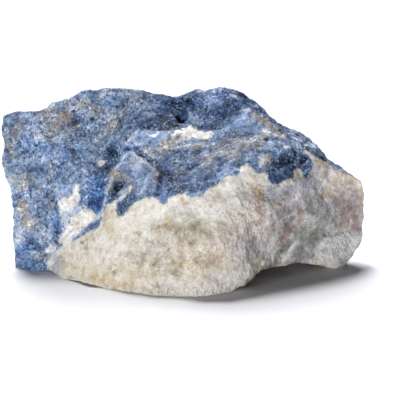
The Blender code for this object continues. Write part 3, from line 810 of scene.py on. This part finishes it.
def at_point(tree):
    """What the patterns read at a point of the stone: the place, the random colour and number of the grain
    there, the values that the mesh carries, and two S-curves of them: dark, from 0 at a tone of 0 to 1 at
    -0.8, and rough, from 1 where nothing is smooth to 0.
    """
    where = add(tree, "TexCoord", {}, out="Object")
    grains = add(tree, "TexVoronoi", {"Vector": where, "Scale": per_metre(GRAIN_SIZE)}, out="Color")
    point = {"where": where, "grains": grains, "random": add(tree, "SeparateColor", {"Color": grains})}
    for name in CARRIED + ("tone", "hue", "grain", "matrix"):
        point[name] = add(tree, "Attribute", {}, out="Fac", attribute_name=name)
    for name, of, full, none in (("dark", "tone", -0.8, 0.0), ("rough", "smooth", 0.0, 1.0)):
        point[name] = add(tree, "MapRange", {"Value": point[of], "From Min": none, "From Max": full},
                          interpolation_type="SMOOTHSTEP")
    return point


def drawn_out(tree, point, stretch):
    """The place turned and squeezed, so that a pattern on it is stretched along the bedding."""
    return add(tree, "Mapping", {
        "Vector": point["where"], "Rotation": BEDDING_TURN, "Scale": (stretch, 1, 1),
    }, vector_type="TEXTURE")


def blue_stone(tree, point):
    """Lapis, broken: lazurite grains of half a millimetre to one, dark where they are whole and pale
    where they are crushed, with grey and rusty patches. Returns the colour and its value.
    """
    where, hue, dark = point["where"], point["hue"], point["dark"]
    value = clouds(tree, drawn_out(tree, point, 2.0), -0.37, (1.5, 5.0, 0.7, 1.0))
    value = clouds(
        tree, where, value,
        (7.0, 3.0, 0.6, 0.6),
        (1.25, 3.0, 0.65, -0.34, 0.43, 0.3),
        (0.95, 3.0, 0.65, 0.34, 0.57, 0.7),
    )
    value = weighted(tree, value, (point["random"], 0.1), (point["tone"], 0.34), (point["grain"], 0.14))
    body, dull, vivid = (
        add(tree, "ValToRGB", {"Fac": value}, list(zip(BLUE_VALUES, shades)))
        for shades in (BLUE, DULL_BLUE, VIVID_BLUE)
    )
    patches = clouds(tree, where, 0.0, (3.2, 3.0, 0.6, 1.1), (1.2, 1.0, 0.6, 0.2))
    body = laid_over(tree, body, dull, weighted(tree, patches, (hue, -0.35)), 0.64, 1.0)
    body = laid_over(tree, body, vivid, weighted(tree, 0.0, (patches, -1.0), (hue, 0.4)), -0.6, -0.05)

    # White flecks: crushed grains and painted glints, the more of them where the stone is dark.
    specks = weighted(tree, clouds(tree, where, 0.0, (0.65, 3.0, 0.7, 1.0)), (dark, 0.03))
    most = weighted(tree, 0.5, (dark, 0.22), (point["smooth"], -0.3))
    body = laid_over(tree, body, CRUSHED_GRAIN_AND_GLINT, specks, 0.56, 0.7, most)
    return speckled(tree, point, body, 1.3), value


def pale_stone(tree, point):
    """Calcite and feldspar matrix, broken: a sugary ground, cream or grey, with soft mottles.

    Returns the colour and its value.
    """
    where = point["where"]
    value = clouds(tree, drawn_out(tree, point, 2.5), -0.44, (1.1, 3.0, 0.6, 0.45))
    value = clouds(
        tree, where, value,
        (6.0, 3.0, 0.6, 0.64),
        (2.2, 3.0, 0.55, 0.95),
        (1.3, 3.0, 0.6, 0.16, 0.6, 0.72),
        (0.9, 3.0, 0.7, -0.4, 0.36, 0.28),
    )
    value = weighted(tree, value, (point["random"], 0.1), (point["tone"], 0.3), (point["grain"], 0.12))
    cream, grey = (
        add(tree, "ValToRGB", {"Fac": value}, list(zip(PALE_VALUES, shades))) for shades in (CREAM, GREY)
    )
    patches = weighted(tree, clouds(tree, where, -0.3, (3.0, 4.0, 0.6, 0.6)), (point["hue"], -0.8))
    return speckled(tree, point, laid_over(tree, cream, grey, patches, 0.1, 0.5), 0.25), value


def speckled(tree, point, body, amount):
    """The colour made lighter and darker grain by grain, about the same mean.

    The grains show more in some patches of 5 mm, which are crumbly, and less in others. They show most
    on the darker parts, where crushed grains and painted glints lie on whole dark grains and on painted
    shade, and not at all on smooth facets.
    The change, times the whitening, is added to 1, and the colour is multiplied by that.
    """
    where = point["where"]
    change = clouds(
        tree, where, -0.95,
        (0.45, 2.0, 0.6, 1.5),
        (0.6, 2.0, 0.65, -0.45, 0.44, 0.37),
        (0.6, 2.0, 0.65, 0.6, 0.6, 0.68),
    )
    change = weighted(tree, change, (point["random"], 0.4))
    crumbly = clouds(tree, where, 0.5 * amount, (5.0, 2.0, 0.6, 0.85 * amount, 0.38, 0.6))
    crumbly = weighted(tree, crumbly, (point["dark"], amount))
    for share in (crumbly, point["rough"]):
        change = add(tree, "Math", {0: change, 1: share}, operation="MULTIPLY")
    whitening = add(tree, "VectorMath", {0: WHITENING, "Scale": change}, operation="SCALE")
    factors = add(tree, "VectorMath", {0: whitening, 1: (1, 1, 1)}, operation="ADD")
    return add(tree, "VectorMath", {0: body, 1: factors}, operation="MULTIPLY")


def stained(tree, point, body, stains):
    """The colour with its stains over it, each led by the point's value times a cloudy pattern.

    The pattern runs from 0 to 2. A stain that starts at 0 is a soft tint, and a later one is ragged.
    """
    for name, code, size, low, most in stains:
        cloud = clouds(tree, point["where"], 0.0, (size, 6.0, 0.75, 1.0))
        patchy = add(tree, "MapRange", {
            "Value": cloud, "From Min": 0.36, "From Max": 0.64, "To Min": 0.0, "To Max": 2.0,
        })
        ragged = add(tree, "Math", {0: point[name], 1: patchy}, operation="MULTIPLY")
        body = laid_over(tree, body, code, ragged, low, 1.1, most)
    return body


def broken_lapis_on_calcite():
    """Blue stone and its calcite matrix, broken by hammer and unpolished, so rough all over.

    A fresh fracture is dull: small grain faces scatter the light and only few of them glint.
    """
    material = bpy.data.materials.new("broken_lapis_on_calcite")
    material.use_nodes = True
    tree = material.node_tree
    shader = tree.nodes["Principled BSDF"]
    point = at_point(tree)
    blue, blue_value = blue_stone(tree, point)
    pale, pale_value = pale_stone(tree, point)
    blue, pale = stained(tree, point, blue, BLUE_STAINS), stained(tree, point, pale, PALE_STAINS)

    # The contact is ragged: grains of the one stone reach a millimetre into the other.
    ragged = clouds(tree, point["where"], -1.2, (1.0, 6.0, 0.85, 2.4))
    ragged = weighted(tree, ragged, (point["matrix"], 1.0))
    share = add(tree, "MapRange", {"Value": ragged, "From Min": -0.25, "From Max": 0.3},
                interpolation_type="SMOOTHSTEP")
    body = add(tree, "Mix", {0: share, 6: blue, 7: pale}, out=2, data_type="RGBA")
    height = add(tree, "Mix", {0: share, 2: blue_value, 3: pale_value}, data_type="FLOAT")

    # Each grain is a small crystal face that leans its own way, less so in the matrix.
    crumbs = clouds(tree, point["where"], 0.0, (0.8, 4.0, 0.7, 1.2))
    crumbs = weighted(tree, crumbs, (height, 0.8))
    bump = add(tree, "Bump", {"Height": crumbs, "Strength": 1.0, "Distance": 0.45 * MM})
    lean = add(tree, "VectorMath", {0: point["grains"], 1: (-0.5, -0.5, -0.5)}, operation="ADD")
    calm = add(tree, "Math", {0: share, 1: point["white"]}, operation="MAXIMUM")
    amount = add(tree, "MapRange", {"Value": calm, "To Min": 0.9, "To Max": 0.38})
    leaning = add(tree, "VectorMath", {0: lean, "Scale": amount}, operation="SCALE")
    facing = add(tree, "VectorMath", {0: bump, 1: leaning}, operation="ADD")
    facing = add(tree, "VectorMath", {0: facing}, operation="NORMALIZE")

    dull = add(tree, "MapRange", {
        "Value": height, "From Min": 0.2, "From Max": 0.9, "To Min": 0.8, "To Max": 0.5,
    })
    for key, value in {"Base Color": body, "Normal": facing, "Roughness": dull}.items():
        tree.links.new(value, shader.inputs[key])
    shader.inputs["IOR"].default_value = 1.5
    shader.inputs["Metallic"].default_value = 0.0
    return material


def white_paper():
    """Matt white paper, as on a table for product photographs."""
    material = bpy.data.materials.new("white_paper")
    material.use_nodes = True
    shader = material.node_tree.nodes["Principled BSDF"]
    shader.inputs["Base Color"].default_value = colour("#ebebed")
    shader.inputs["Roughness"].default_value = 0.9
    shader.inputs["Specular IOR Level"].default_value = 0.1
    return material


# Stage


def make_floor():
    """A level sheet, wide enough to fill the view."""
    reach = 4000
    corners = np.array([(-reach, -reach, 0), (reach, -reach, 0), (reach, reach, 0), (-reach, reach, 0)])
    floor = make_mesh("floor", corners, np.array([(0, 1, 2), (0, 2, 3)]), {})
    floor.data.materials.append(white_paper())


def make_light(name, comes_from, strength, spread, tint):
    """A far soft light: a disc of sky that many degrees wide, in the direction that it comes from."""
    lamp = bpy.data.lights.new(name, "SUN")
    lamp.energy = strength
    lamp.angle = math.radians(spread)
    lamp.color = colour(tint)[:3]
    holder = bpy.data.objects.new(name, lamp)
    holder.rotation_euler = Vector(comes_from).to_track_quat("Z", "Y").to_euler()
    bpy.context.scene.collection.objects.link(holder)


def make_camera():
    """The photograph's camera, at its distance from its aim and above the horizon by its rise."""
    back = Vector((0, -math.cos(CAMERA_RISE), math.sin(CAMERA_RISE)))
    lens = bpy.data.cameras.new("camera")
    lens.sensor_width = SENSOR_WIDTH
    lens.lens = SENSOR_WIDTH * FOCAL_PIXELS / FRAME_PIXELS
    lens.clip_start = 0.01
    camera = bpy.data.objects.new("camera", lens)
    camera.location = (Vector(CAMERA_AIM) + back * CAMERA_DISTANCE) * MM
    camera.rotation_euler = back.to_track_quat("Z", "Y").to_euler()
    bpy.context.scene.collection.objects.link(camera)
    bpy.context.scene.camera = camera


def make_world():
    """A faint bluish light from all round, which lifts the shade."""
    world = bpy.data.worlds.new("studio")
    world.use_nodes = True
    ground = world.node_tree.nodes["Background"]
    ground.inputs["Color"].default_value = colour("#d4e0ff")
    ground.inputs["Strength"].default_value = 0.025
    bpy.context.scene.world = world


make_camera()
make_world()
make_light("key", (-0.18, 0.5, 1.0), 2.58, 15, "#ffffff")
make_light("backdrop", (-0.15, 1.0, 0.85), 3.92, 32, "#f4f5ff")
make_light("side", (-1.0, -0.15, 0.35), 0.56, 50, "#f0f4ff")
make_light("front", (-0.28, -1.0, 0.012), 2.2, 1.5, "#ffffff")
make_floor()

stone = make_mesh("lapis_stone", *stone_arrays())
stone.data.materials.append(broken_lapis_on_calcite())
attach(stone, "root")
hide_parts(NODE)

bpy.context.scene.view_settings.view_transform = "Standard"
